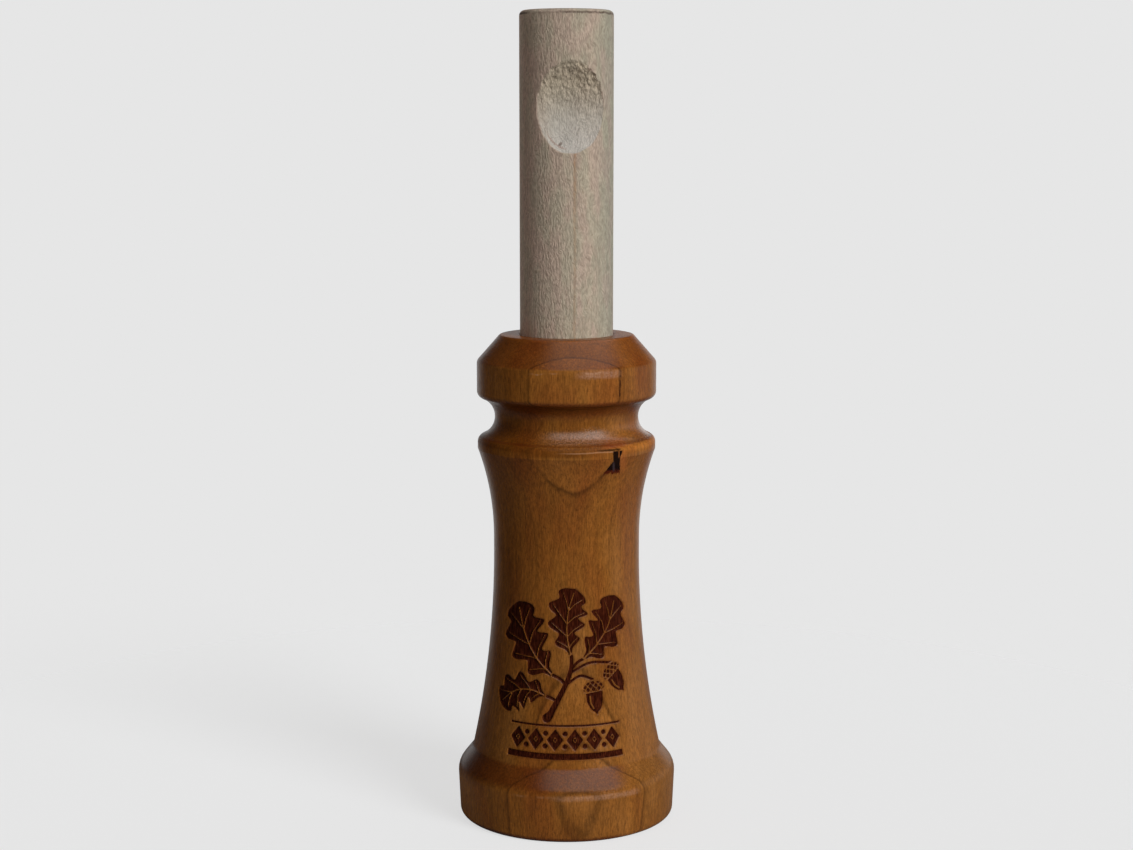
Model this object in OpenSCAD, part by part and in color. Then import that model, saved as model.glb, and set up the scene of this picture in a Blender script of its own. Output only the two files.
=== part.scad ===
// Bird call: a turned barrel with a bell foot, and a dowel mouthpiece that holds a reed unit.
// Millimetres, +Z up along the call, origin at the middle of the foot, dished side towards -Y.

/* [Barrel outside] */
// Radius of the foot band at its widest
foot_band_r = 18.95; // [17.6:0.05:22.5]
// How much smaller that radius is at the bottom edge
foot_taper = 0.4; // [0.1:0.05:1]
// Height of the foot band
foot_band_h = 7.6; // [6:0.1:10]
// Radius of the round between the foot band and the slope above it
foot_round_r = 3.4; // [2.6:0.1:4.4]
// Radius of the hollow between that slope and the body
foot_hollow_r = 2; // [1.6:0.1:4.2]
// Width of the ledge from the foot band in to the body
foot_ledge_w = 2.75; // [2:0.05:4]
// Height of the body from its foot up to the waist
body_h = 34.3; // [28:0.1:46]
// Height of the straight part of the waist
waist_h = 2.4; // [1:0.1:4]
// Radius of the waist
waist_r = 12.55; // [12:0.05:13.6]
// Height of the neck from the waist up to the bead
neck_h = 15.35; // [12:0.05:20]
// Radius of the bead under the lanyard groove
bead_r = 15.25; // [14.6:0.05:18]
// Height of the bead's straight band
bead_h = 1.05; // [0.6:0.05:2]
// Depth of the lanyard groove below the bead
groove_depth = 2.95; // [2.2:0.05:3.4]
// Radius of the round bottom of the lanyard groove
groove_round_r = 3.5; // [3:0.05:4.2]
// Radius of the round on both edges of the groove
groove_edge_r = 1.2; // [0.6:0.05:1.6]
// Radius of the collar
collar_r = 15.35; // [14.6:0.05:18]
// Height of the collar's straight band
collar_band_h = 5.15; // [4:0.05:8]
// Height of the slope on top of the collar
collar_slope_h = 4.5; // [3.6:0.05:5.6]
// Radius of the flat top around the mouthpiece
top_flat_r = 11.4; // [10.4:0.05:12.5]

/* [Barrel inside] */
// Depth of the socket for the mouthpiece
socket_depth = 22; // [17:0.5:27]
// Play of the reed unit's flange in the throat below the socket
throat_play = 0.4; // [0.2:0.05:0.75]
// Radius of the sound chamber
chamber_r = 9.525; // [8:0.025:10.2]
// Height of the sound chamber's ceiling above the foot
chamber_top_z = 50; // [40:0.5:56]
// Height at which the bell starts to flare
flare_z = 24; // [18:0.5:30]
// Width of the foot's rim round the bell
bell_rim_w = 4.35; // [3.4:0.05:6.2]

/* [Mouthpiece] */
// Radius of the dowel
dowel_r = 7.94; // [7.8:0.01:8.6]
// Length of dowel that stands out of the barrel
dowel_out = 54.3; // [46:0.1:66]
// Radius of the air bore
air_bore_r = 3.175; // [2.6:0.025:3.8]
// Wall left between the seal ring grooves and the counterbore that holds the reed unit
seat_wall_t = 1.1; // [0.8:0.05:1.4]
// Space left in that counterbore beyond the toneboard's tip
tip_space = 3; // [1.5:0.5:8]
// Depth of the dish in the dowel's side
dish_depth = 2.9; // [2.2:0.1:3.4]
// Distance from the dowel's top end to the middle of the dish
dish_drop = 16.1; // [13:0.1:20]
// Radius of the dish along the dowel
dish_long_r = 11.4; // [9:0.1:14]
// Radius of the dish across the dowel
dish_cross_r = 26; // [18:0.5:34]
// Turn of the dish to the right of the front
dish_turn = 6; // [0:1:12]

/* [Seal rings] */
// Thickness of a seal ring's cord
seal_cord = 1.5; // [1.2:0.05:1.6]
// Height of the lower seal ring above the dowel's inner end
seal_low_h = 5.5; // [4:0.1:7]
// Distance between the two seal rings
seal_pitch = 11; // [8:0.5:13]

/* [Reed unit] */
// How far the toneboard's flange reaches past the counterbore
flange_lip_w = 0.8; // [0.6:0.05:1.1]
// Thickness of the flange
flange_t = 1.4; // [1:0.1:2]
// Length of the plug that fills the counterbore
plug_l = 9; // [7.5:0.5:10.5]
// Length of the curved facing beyond the plug
facing_l = 19; // [15:0.5:20]
// Opening between the reed's tip and the facing
tip_gap = 1.4; // [0.9:0.05:1.8]
// Distance of the reed's table behind the middle of the unit
table_y = 0.4; // [0.2:0.05:0.7]
// Radius of the tone trough in the facing
trough_r = 2.4; // [1.9:0.05:2.8]
// Material left between the trough and the toneboard's tip
trough_end_t = 2.5; // [1.8:0.1:3.5]
// Thickness of the reed
reed_t = 0.35; // [0.25:0.05:0.6]
// Width of toneboard left bare on each side of the reed
reed_margin = 0.9; // [0.6:0.05:1.6]
// Radius of the corners at the tips of the reed and the toneboard
tip_corner_r = 2.2; // [1.2:0.1:3]
// Height of the wedge's square nose above the reed
nose_h = 1.6; // [1:0.1:2.4]
// Length of the slope behind the wedge's nose
nose_slope_l = 3; // [2:0.1:3.6]
// Thickness of the cord of the ring that binds the reed unit
band_cord = 1.2; // [0.9:0.05:1.4]
// Height of the binding ring above the flange
band_h = 3.6; // [2.6:0.1:4.4]

/* [Hidden] */

// Sides of a circle that is drawn whole
$fn = 96;
// Furthest that a chord of a curved outline lies inside its curve
chord_sag = 0.02;
// Points of an outline that lie closer together than this are one point
point_gap = 0.001;
// Overrun of every cut past the face it opens
over = 1;

// Clearances: dowel in the socket, ring on a wall, plug in its seat, toneboard in the air space
dowel_clear = 0.05;
ring_clear = 0.02;
plug_clear = 0.04;
board_clear = 0.45;
// Clear width left beside a ring in its groove
ring_play = 0.1;
// How far a ring is flattened where it meets its bore
seal_squeeze = 0.2;
band_squeeze = 0.15;

// Rounds and leads broken on the turned edges
foot_edge_round = 1.25;
edge_round = 0.7;
collar_round = 1.1;
bell_lip_round = 0.6;
socket_lead = 0.3;
mouth_end_round = 0.9;
blow_hole_round = 0.6;
tenon_lead = 0.4;
seat_lead = 0.3;

// Height of the straight lip below the bell's flare
bell_lip_h = 1;

// Slope of the foot above its band, and of the end that a drill leaves, from the axis
foot_slope_a = 38.8;
drill_a = 59;

// Radii that follow from the foot band, inwards
foot_edge_r = foot_band_r - foot_taper;
body_foot_r = foot_band_r - foot_ledge_w;
bell_r = foot_edge_r - bell_rim_w;

// Radii that follow from the dowel: socket, floor of the seal grooves, counterbore, flange, throat
socket_r = dowel_r + dowel_clear;
seal_floor_r = socket_r - ring_clear - (seal_cord - seal_squeeze) - ring_clear;
seat_r = seal_floor_r - seat_wall_t;
flange_r = seat_r + flange_lip_w;
throat_r = flange_r + throat_play;

// Radius of an arc that leaves a straight line and has moved across by side after along
function sweep_r(along, side) = (along * along + side * side) / (2 * side);
function sweep_a(along, side) = asin(along / sweep_r(along, side));

// Body below the waist, neck above it and the bell's flare are each one such arc
body_r = sweep_r(body_h, body_foot_r - waist_r);
body_a = sweep_a(body_h, body_foot_r - waist_r);
neck_r = sweep_r(neck_h, bead_r - waist_r);
neck_a = sweep_a(neck_h, bead_r - waist_r);
flare_r = sweep_r(flare_z - bell_lip_h, bell_r - chamber_r);
flare_a = sweep_a(flare_z - bell_lip_h, bell_r - chamber_r);

// The foot's slope runs from its round to its hollow, and sets the height of the body's foot
slope_low = [foot_band_r - foot_round_r * (1 - cos(foot_slope_a)),
    foot_band_h + foot_round_r * sin(foot_slope_a)];
slope_high_r = body_foot_r + foot_hollow_r * (cos(body_a) - cos(foot_slope_a));
slope_high_z = slope_low.y + (slope_low.x - slope_high_r) / tan(foot_slope_a);
body_foot_z = slope_high_z + foot_hollow_r * (sin(foot_slope_a) - sin(body_a));

// Along the call and round it, how far the groove reaches from its floor up to an edge, depth away
groove_reach_r = groove_round_r + groove_edge_r;
function groove_rise(depth) = sqrt(depth * (2 * groove_reach_r - depth));
function groove_turn(depth) = acos(1 - depth / groove_reach_r);
collar_depth = groove_depth + collar_r - bead_r;

// Heights stacked up from the foot
waist_z = body_foot_z + body_h;
neck_z = waist_z + waist_h;
bead_z = neck_z + neck_h;
groove_low_z = bead_z + bead_h;
groove_mid_z = groove_low_z + groove_rise(groove_depth);
collar_z = groove_mid_z + groove_rise(collar_depth);
collar_slope_z = collar_z + collar_band_h;
barrel_h = collar_slope_z + collar_slope_h;

// The mouthpiece stands on the shoulder at the bottom of the socket
seat_z = barrel_h - socket_depth;
dowel_top_z = barrel_h + dowel_out;
seat_top_z = seat_z + plug_l + facing_l + tip_space;
dish_z = dowel_top_z - dish_drop;

// The reed unit, from the flange up
plug_r = seat_r - plug_clear;
board_r = seat_r - board_clear;
plug_top_z = seat_z + plug_l;
// The board is let into the plug, down to here
board_root_z = seat_z + plug_l / 2;
board_top_z = plug_top_z + facing_l;
facing_r = sweep_r(facing_l, tip_gap);
reed_w = 2 * (board_r - reed_margin);
reed_top_z = board_top_z - reed_t;
band_z = seat_z + band_h;

// The floor of the binding ring's groove, as deep as the flattened ring
band_floor_r = seat_r - ring_clear - (band_cord - band_squeeze) - ring_clear;

function unit(v) = v / norm(v);

// Points of the round that takes the corner b, between a and c, with radius r
function rounded_corner(a, b, c, r) =
    let (to_a = unit(a - b), to_c = unit(c - b))
    let (half = acos(to_a * to_c) / 2)
    let (mid = b + unit(to_a + to_c) * r / sin(half))
    let (from = b + to_a * r / tan(half) - mid, turn = 180 - 2 * half)
    let (side = cross(b - a, c - b) > 0 ? 1 : -1)
    let (steps = ceil(turn / (2 * acos(1 - min(1, chord_sag / r)))))
    [for (i = [0:steps]) let (t = side * turn * i / steps)
        mid + [from.x * cos(t) - from.y * sin(t), from.x * sin(t) + from.y * cos(t)]];

// A closed outline from corners, each [radius from the axis, height, round]
function rounded_outline(corners) =
    let (n = len(corners))
    apart([for (i = [0:n - 1])
        let (b = corners[i], a = corners[(i + n - 1) % n], c = corners[(i + 1) % n])
        each b[2] > 0
            ? rounded_corner([a.x, a.y], [b.x, b.y], [c.x, c.y], b[2])
            : [[b.x, b.y]]]);

// The points without those that the next one repeats, as where two rounds meet
function apart(points) =
    [for (i = [0:len(points) - 1])
        if (norm(points[(i + 1) % len(points)] - points[i]) > point_gap) points[i]];

// Corner where the tangents at both ends of a sweep meet, on the line at radius r
function sweep_corner(r, z, sweep, a) = [r, z + sweep * tan(a / 2), abs(sweep)];

// Corners along an arc about mid, from the angle from_a to to_a
function arc_corners(mid, r, from_a, to_a) =
    let (steps = ceil(abs(to_a - from_a) / (2 * acos(1 - chord_sag / r))))
    [for (i = [0:steps]) let (a = from_a + (to_a - from_a) * i / steps)
        [mid.x + r * cos(a), mid.y + r * sin(a), 0]];

// The lanyard groove from the bead up to the collar: an edge, the hollow and the other edge
groove_corners = let (low_a = groove_turn(groove_depth), high_a = groove_turn(collar_depth))
    concat(
        arc_corners([bead_r - groove_edge_r, groove_low_z], groove_edge_r, 0, low_a),
        arc_corners([bead_r - groove_depth + groove_round_r, groove_mid_z], groove_round_r,
            180 + low_a, 180 - high_a),
        arc_corners([collar_r - groove_edge_r, collar_z], groove_edge_r, -high_a, 0));

// Corner between the foot's slope and the tangent to the body's foot
foot_hollow_corner = let (run = foot_hollow_r * tan((foot_slope_a - body_a) / 2))
    [slope_high_r - run * sin(foot_slope_a), slope_high_z + run * cos(foot_slope_a), foot_hollow_r];

barrel_outside = concat(
    [
        [foot_edge_r, 0, foot_edge_round],
        [foot_band_r, foot_band_h + foot_round_r * tan(foot_slope_a / 2), foot_round_r],
        foot_hollow_corner,
        sweep_corner(waist_r, waist_z, -body_r, body_a),
        sweep_corner(waist_r, neck_z, neck_r, neck_a),
        [bead_r, bead_z, 0]
    ],
    groove_corners,
    [
        [collar_r, collar_slope_z, collar_round],
        [top_flat_r, barrel_h, edge_round]
    ]);

barrel_inside = [
    [socket_r + socket_lead, barrel_h, 0],
    [socket_r, barrel_h - socket_lead, 0],
    [socket_r, seat_z, 0],
    [throat_r, seat_z, 0],
    [throat_r, chamber_top_z + (chamber_r - throat_r) / tan(drill_a), 0],
    [chamber_r, chamber_top_z, 0],
    sweep_corner(chamber_r, flare_z, -flare_r, flare_a),
    [bell_r + bell_lip_h * tan(flare_a), 0, bell_lip_round]
];

mouthpiece_outline = [
    [seat_r + seat_lead, seat_z, 0],
    [dowel_r - tenon_lead, seat_z, 0],
    [dowel_r, seat_z + tenon_lead, 0],
    [dowel_r, dowel_top_z, mouth_end_round],
    [air_bore_r, dowel_top_z, blow_hole_round],
    [air_bore_r, seat_top_z + (seat_r - air_bore_r) / tan(drill_a), 0],
    [seat_r, seat_top_z, 0],
    [seat_r, seat_z + seat_lead, 0]
];

module barrel() {
    color("sienna")
        rotate_extrude()
            polygon(rounded_outline(concat(barrel_outside, barrel_inside)));
}

// The groove that seats a ring: floor_r is its floor, wall_r the surface that it is cut in
module ring_groove(z, cord, floor_r, wall_r) {
    translate([0, 0, z])
        rotate_extrude()
            translate([floor_r, -cord / 2 - ring_play])
                square([wall_r - floor_r + over, cord + 2 * ring_play]);
}

// A round ring on that floor, flattened where it meets the bore of radius bore_r
module flattened_ring(z, cord, floor_r, bore_r) {
    inner_r = floor_r + ring_clear;
    translate([0, 0, z])
        rotate_extrude()
            intersection() {
                translate([inner_r + cord / 2, 0])
                    circle(d = cord);
                translate([inner_r, -cord])
                    square([bore_r - ring_clear - inner_r, 2 * cord]);
            }
}

// Turned on a crowned wheel whose axle lies across the dowel
module dish_cutter() {
    rotate([0, 0, dish_turn])
        translate([0, dish_depth - dowel_r - dish_long_r, dish_z])
            rotate([0, 90, 0])
                rotate_extrude()
                    intersection() {
                        translate([dish_long_r - dish_cross_r, 0])
                            circle(dish_cross_r);
                        translate([0, -dowel_r])
                            square([dish_long_r + over, 2 * dowel_r]);
                    }
}

module mouthpiece() {
    color("tan")
        difference() {
            rotate_extrude()
                polygon(rounded_outline(mouthpiece_outline));
            ring_groove(seat_z + seal_low_h, seal_cord, seal_floor_r, dowel_r);
            ring_groove(seat_z + seal_low_h + seal_pitch, seal_cord, seal_floor_r, dowel_r);
            dish_cutter();
        }
}

module lower_seal_ring() {
    color("black")
        flattened_ring(seat_z + seal_low_h, seal_cord, seal_floor_r, socket_r);
}

module upper_seal_ring() {
    color("black")
        flattened_ring(seat_z + seal_low_h + seal_pitch, seal_cord, seal_floor_r, socket_r);
}

// Everything behind the plane at y, over the whole height of the unit
module behind(y) {
    translate([-flange_r - over, y, seat_z - flange_t - over])
        cube([2 * (flange_r + over), flange_r + over - y, flange_t + plug_l + facing_l + 2 * over]);
}

// A flat tongue, width w, from z low to z high, with round corners at its top
module tongue(w, low, high) {
    r = tip_corner_r;
    translate([-w / 2, low])
        square([w, high - r - low]);
    translate([-w / 2 + r, low])
        square([w - 2 * r, high - low]);
    for (side = [-1, 1])
        translate([side * (w / 2 - r), high - r])
            circle(r);
}

// The same tongue stood up in the XZ plane, filling y from near to far
module standing_tongue(w, low, high, near, far) {
    translate([0, far, 0])
        rotate([90, 0, 0])
            linear_extrude(far - near)
                tongue(w, low, high);
}

module toneboard_blank() {
    translate([0, 0, seat_z - flange_t])
        cylinder(r = flange_r, h = flange_t);
    intersection() {
        translate([0, 0, seat_z])
            cylinder(r = plug_r, h = plug_l);
        behind(table_y);
    }
    intersection() {
        translate([0, 0, board_root_z])
            cylinder(r = board_r, h = board_top_z - board_root_z);
        standing_tongue(2 * board_r, board_root_z, board_top_z, 0, board_r);
        translate([-flange_r, table_y + facing_r, plug_top_z])
            rotate([0, 90, 0])
                cylinder(r = facing_r, h = 2 * flange_r, $fn = 720);
    }
}

// Half-round channel under the reed, open through the flange and closed short of the tip
module tone_trough() {
    low = seat_z - flange_t - over;
    top = board_top_z - trough_end_t - trough_r;
    difference() {
        translate([0, table_y, 0]) {
            translate([0, 0, low])
                cylinder(r = trough_r, h = top - low);
            translate([0, 0, top])
                sphere(trough_r);
        }
        // The flange stays whole in front of the table
        translate([-flange_r, table_y - flange_r, low - over])
            cube([2 * flange_r, flange_r, board_root_z - low + over]);
    }
}

module toneboard() {
    color("dimgray")
        difference() {
            toneboard_blank();
            tone_trough();
            ring_groove(band_z, band_cord, band_floor_r, plug_r);
        }
}

module reed() {
    color("whitesmoke")
        standing_tongue(reed_w, seat_z, reed_top_z, table_y - reed_t, table_y);
}

// Front half of the plug, with a sloped nose that lets the breath on to the reed
module reed_wedge() {
    reed_face_y = table_y - reed_t;
    color("burlywood")
        difference() {
            intersection() {
                translate([0, 0, seat_z])
                    cylinder(r = plug_r, h = plug_l);
                translate([-plug_r, 0, 0])
                    rotate([90, 0, 90])
                        linear_extrude(2 * plug_r)
                            polygon([
                                [reed_face_y, seat_z],
                                [reed_face_y, plug_top_z],
                                [reed_face_y - nose_h, plug_top_z],
                                [-plug_r, plug_top_z - nose_slope_l],
                                [-plug_r, seat_z]
                            ]);
            }
            ring_groove(band_z, band_cord, band_floor_r, plug_r);
        }
}

module reed_unit_ring() {
    color("black")
        flattened_ring(band_z, band_cord, band_floor_r, seat_r);
}

barrel();
mouthpiece();
lower_seal_ring();
upper_seal_ring();
toneboard();
reed();
reed_wedge();
reed_unit_ring();
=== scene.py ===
"""Turned wooden bird call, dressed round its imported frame."""
import math

import bmesh
import bpy
import numpy as np
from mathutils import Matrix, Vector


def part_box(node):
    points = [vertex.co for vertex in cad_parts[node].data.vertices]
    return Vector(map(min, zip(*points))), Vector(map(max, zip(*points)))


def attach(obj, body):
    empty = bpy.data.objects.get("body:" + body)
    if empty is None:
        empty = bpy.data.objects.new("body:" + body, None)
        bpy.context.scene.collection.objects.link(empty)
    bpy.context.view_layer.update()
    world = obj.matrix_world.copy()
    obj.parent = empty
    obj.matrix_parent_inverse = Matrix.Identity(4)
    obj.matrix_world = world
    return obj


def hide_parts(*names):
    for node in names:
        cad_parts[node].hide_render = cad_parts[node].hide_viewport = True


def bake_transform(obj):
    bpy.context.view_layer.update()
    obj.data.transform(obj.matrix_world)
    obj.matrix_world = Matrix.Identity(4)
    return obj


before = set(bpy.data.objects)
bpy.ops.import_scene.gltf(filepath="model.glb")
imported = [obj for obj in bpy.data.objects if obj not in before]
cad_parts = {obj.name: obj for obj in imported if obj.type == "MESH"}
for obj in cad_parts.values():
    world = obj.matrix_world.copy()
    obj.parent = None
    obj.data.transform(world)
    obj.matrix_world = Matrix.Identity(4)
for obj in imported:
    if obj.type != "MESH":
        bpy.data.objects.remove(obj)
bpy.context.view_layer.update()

MM = 0.001
TO_MM = (1 / MM,) * 3


def srgb(r, g, b):
    """A colour as read off a screen, 0 to 255, in the renderer's linear values."""
    return tuple(((c / 255 + 0.055) / 1.055) ** 2.4 if c > 10 else c / 3294.6 for c in (r, g, b))


# Sizes in millimetres and heights worked out from them, as in the part's source

FOOT_EDGE_R, FOOT_BAND_R, FOOT_BAND_H = 18.55, 18.95, 7.6
FOOT_ROUND_R, FOOT_HOLLOW_R, FOOT_SLOPE_A = 3.4, 2.0, 38.8
BODY_FOOT_R, BODY_H, WAIST_H, WAIST_R = 16.2, 34.3, 2.4, 12.55
NECK_H, BEAD_R, BEAD_H = 15.35, 15.25, 1.05
GROOVE_DEPTH, GROOVE_ROUND_R, GROOVE_EDGE_R = 2.95, 3.5, 1.2
COLLAR_R, COLLAR_BAND_H, COLLAR_SLOPE_H, TOP_FLAT_R = 15.35, 5.15, 4.5, 11.4
SOCKET_DEPTH, THROAT_R, CHAMBER_R, CHAMBER_TOP_Z = 22.0, 6.75, 9.525, 50.0
FLARE_Z, BELL_R, BELL_LIP_H = 24.0, 14.2, 1.0
FOOT_EDGE_ROUND, EDGE_ROUND, COLLAR_ROUND, BELL_LIP_ROUND = 1.25, 0.7, 1.1, 0.6
SOCKET_LEAD, DRILL_A = 0.3, 59.0
DOWEL_R, DOWEL_OUT, DOWEL_CLEAR, AIR_BORE_R = 7.94, 54.3, 0.05, 3.175
SEAT_R, SEAT_DEPTH, SEAT_LEAD, TENON_LEAD = 5.55, 31.0, 0.3, 0.4
MOUTH_END_ROUND, BLOW_HOLE_ROUND = 0.9, 0.6
SEAL_CORD, SEAL_LOW_H, SEAL_PITCH, SEAL_SQUEEZE, RING_CLEAR, RING_PLAY = 1.5, 5.5, 11.0, 0.2, 0.02, 0.1
DISH_DEPTH, DISH_DROP, DISH_LONG_R, DISH_CROSS_R, DISH_TURN = 2.9, 16.1, 11.4, 26.0, 6.0


def sin_d(a):
    return math.sin(math.radians(a))


def cos_d(a):
    return math.cos(math.radians(a))


def tan_d(a):
    return math.tan(math.radians(a))


def sweep(along, side):
    """Radius and angle of an arc that leaves a straight line and moves across by side after along."""
    radius = (along * along + side * side) / (2 * side)
    return radius, math.degrees(math.asin(along / radius))


def groove_reach(depth):
    """Height and angle from the groove's floor up to an edge that lies depth outside it."""
    both = GROOVE_ROUND_R + GROOVE_EDGE_R
    rise = math.sqrt(depth * (2 * both - depth))
    return rise, math.degrees(math.asin(rise / both))


body_r, body_a = sweep(BODY_H, BODY_FOOT_R - WAIST_R)
neck_r, neck_a = sweep(NECK_H, BEAD_R - WAIST_R)
flare_r, flare_a = sweep(FLARE_Z - BELL_LIP_H, BELL_R - CHAMBER_R)
slope_low_r = FOOT_BAND_R - FOOT_ROUND_R * (1 - cos_d(FOOT_SLOPE_A))
slope_low_z = FOOT_BAND_H + FOOT_ROUND_R * sin_d(FOOT_SLOPE_A)
slope_high_r = BODY_FOOT_R + FOOT_HOLLOW_R * (cos_d(body_a) - cos_d(FOOT_SLOPE_A))
slope_high_z = slope_low_z + (slope_low_r - slope_high_r) / tan_d(FOOT_SLOPE_A)
body_foot_z = slope_high_z + FOOT_HOLLOW_R * (sin_d(FOOT_SLOPE_A) - sin_d(body_a))
waist_z = body_foot_z + BODY_H
neck_z = waist_z + WAIST_H
bead_z = neck_z + NECK_H
groove_low_z = bead_z + BEAD_H
groove_mid_r = BEAD_R - GROOVE_DEPTH + GROOVE_ROUND_R
low_rise, low_a = groove_reach(GROOVE_DEPTH)
high_rise, high_a = groove_reach(GROOVE_DEPTH + COLLAR_R - BEAD_R)
groove_mid_z = groove_low_z + low_rise
collar_z = groove_mid_z + high_rise
collar_slope_z = collar_z + COLLAR_BAND_H
barrel_h = collar_slope_z + COLLAR_SLOPE_H
seat_z = barrel_h - SOCKET_DEPTH
dowel_top_z = barrel_h + DOWEL_OUT
seat_top_z = seat_z + SEAT_DEPTH
dish_z = dowel_top_z - DISH_DROP
socket_r = DOWEL_R + DOWEL_CLEAR


# Node graphs

class Value:
    """A socket that takes part in sums as a number or a vector does."""

    def __init__(self, graph, socket):
        self.graph = graph
        self.socket = socket

    def op(self, operation, *others):
        """This value through a Math node, by the operation's name."""
        return self.graph.add("ShaderNodeMath", [self, *others], operation=operation)

    def __add__(self, other):
        return self.op("ADD", other)

    def __sub__(self, other):
        return self.op("SUBTRACT", other)

    def __mul__(self, other):
        return self.op("MULTIPLY", other)

    def __truediv__(self, other):
        return self.op("DIVIDE", other)

    def __pow__(self, other):
        return self.op("POWER", other)

    def __rsub__(self, other):
        return self.graph.add("ShaderNodeMath", [other, self], operation="SUBTRACT")

    def __neg__(self):
        return self * -1

    __radd__ = __add__
    __rmul__ = __mul__

    def smooth(self, low, high):
        """0 below low, 1 above high, with a soft step between."""
        return self.graph.add(
            "ShaderNodeMapRange", {"Value": self, "From Min": low, "From Max": high},
            interpolation_type="SMOOTHSTEP")

    def band(self, start, full, thin, end):
        """0 outside start and end, 1 from full to thin."""
        return self.smooth(start, full) * self.smooth(end, thin)

    def about(self, outer, inner):
        """1 within inner of nought, 0 beyond outer, on both sides."""
        return self.op("ABSOLUTE").smooth(outer, inner)

    def at_least(self, other):
        return self.op("MAXIMUM", other)

    def above(self, limit):
        return self.op("GREATER_THAN", limit)

    def below(self, limit):
        return self.op("LESS_THAN", limit)

    def ramp(self, *stops):
        """Colour from stops of (place, colour)."""
        return self.graph.add("ShaderNodeValToRGB", {"Fac": self}, stops=stops)

    def parts(self):
        split = self.graph.add("ShaderNodeSeparateXYZ", [self], every=True)
        return [split["X"], split["Y"], split["Z"]]

    def stretched(self, x, y, z):
        return self.graph.add("ShaderNodeVectorMath", [self, (x, y, z)], operation="MULTIPLY")


class Graph:
    """Adds nodes to a tree: settings first, then the values or links of its sockets."""

    def __init__(self, tree):
        self.tree = tree

    def add(self, kind, inputs=(), output=0, every=False, stops=(), **settings):
        node = self.tree.nodes.new(kind)
        for name, value in settings.items():
            setattr(node, name, value)
        for i, (place, colour) in enumerate(stops):
            elements = node.color_ramp.elements
            stop = elements[i] if i < 2 else elements.new(place)
            stop.position = place
            stop.color = (*colour, 1)
        pairs = inputs.items() if isinstance(inputs, dict) else enumerate(inputs)
        for key, value in pairs:
            self.put(node.inputs[key], value)
        if every:
            return {s.name: Value(self, s) for s in node.outputs}
        return Value(self, node.outputs[output])

    def put(self, socket, value):
        if isinstance(value, Value):
            self.tree.links.new(value.socket, socket)
        elif isinstance(value, (tuple, list)) and socket.type == "RGBA" and len(value) == 3:
            socket.default_value = (*value, 1)
        else:
            socket.default_value = value

    def mix(self, factor, a, b, blend="MIX"):
        node = self.tree.nodes.new("ShaderNodeMix")
        node.data_type = "RGBA"
        node.blend_type = blend
        for key, value in (("Factor_Float", factor), ("A_Color", a), ("B_Color", b)):
            self.put(next(s for s in node.inputs if s.identifier == key), value)
        return Value(self, next(s for s in node.outputs if s.identifier == "Result_Color"))

    def times(self, a, b):
        """Two colours multiplied."""
        return self.mix(1.0, a, b, "MULTIPLY")

    def toned(self, mask, colour, by):
        """A colour multiplied by another where the mask is 1."""
        return self.mix(mask, colour, self.times(colour, by))

    def grey(self, value):
        return self.add("ShaderNodeCombineXYZ", [value, value, value])

    def noise(self, at, detail=2.0, rough=0.5, warp=0.0):
        return self.add(
            "ShaderNodeTexNoise",
            {"Vector": at, "Scale": 1.0, "Detail": detail, "Roughness": rough, "Distortion": warp}, output="Fac")

    def place(self):
        """Object coordinates in millimetres."""
        return self.add("ShaderNodeTexCoord", output="Object").stretched(*TO_MM)

    def attribute(self, name):
        return self.add("ShaderNodeAttribute", output="Fac", attribute_name=name)


def material(name, **fixed):
    """A new material with its graph and its Principled shader, whose fixed sockets are set here."""
    made = bpy.data.materials.new(name)
    made.use_nodes = True
    shader = made.node_tree.nodes["Principled BSDF"]
    for socket, value in fixed.items():
        shader.inputs[socket.replace("_", " ")].default_value = value
    return made, Graph(made.node_tree), shader


def finish_shader(graph, shader, colour, roughness, height, lift):
    """Joins what varies to the shader; a height of 1 stands lift mm out in the bump."""
    graph.put(shader.inputs["Base Color"], colour)
    graph.put(shader.inputs["Roughness"], roughness)
    bump = graph.add("ShaderNodeBump", {"Strength": 1.0, "Distance": lift * MM, "Height": height}, output="Normal")
    graph.put(shader.inputs["Normal"], bump)


# Stained and lacquered cherry of the barrel

# Growth ring edges: how far in front of the barrel's axis in mm, and how plainly each shows
RING_EDGES = ((-17.6, 0.8), (-14.3, 0.5), (-11.6, 0.6), (-8.4, 0.4), (-5.6, 0.5), (-2.3, 0.3), (0.9, 0.35),
              (3.6, 0.25), (6.3, 0.3), (8.9, 0.2), (11.2, 0.25), (13.58, 0.9), (15.62, 0.8), (18.8, 0.8))
# Tone across one edge: how far from it in mm, and how much lighter than the ground between the edges
RING_PROFILE = ((-0.18, -0.10), (0.0, -0.62), (0.144, 0.05))
RING_GROUND, RING_REACH = 0.98, 20.0
RING_BEND_R, RING_TURN = 100.0, math.radians(5.0)
# The rings lean across the call by this share of the height below the collar
RING_LEAN, RING_LEAN_Z = 0.018, 80.0


def ring_tone(graph, depth):
    """Tone along the growth rings: wood that darkens to a thin edge, then starts pale again."""
    halves = []
    for low, high in ((-RING_REACH, 0.0), (0.0, RING_REACH)):
        stops = [(0.0, (RING_GROUND,) * 3)]
        for edge, plain in (e for e in RING_EDGES if low < e[0] < high):
            for shift, lighter in RING_PROFILE:
                stops.append(((edge + shift - low) / (high - low), (1 + lighter * plain,) * 3))
        stops.append((1.0, (RING_GROUND,) * 3))
        halves.append(((depth - low) / (high - low)).ramp(*stops))
    return graph.mix(depth.above(0.0), *halves)


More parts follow.
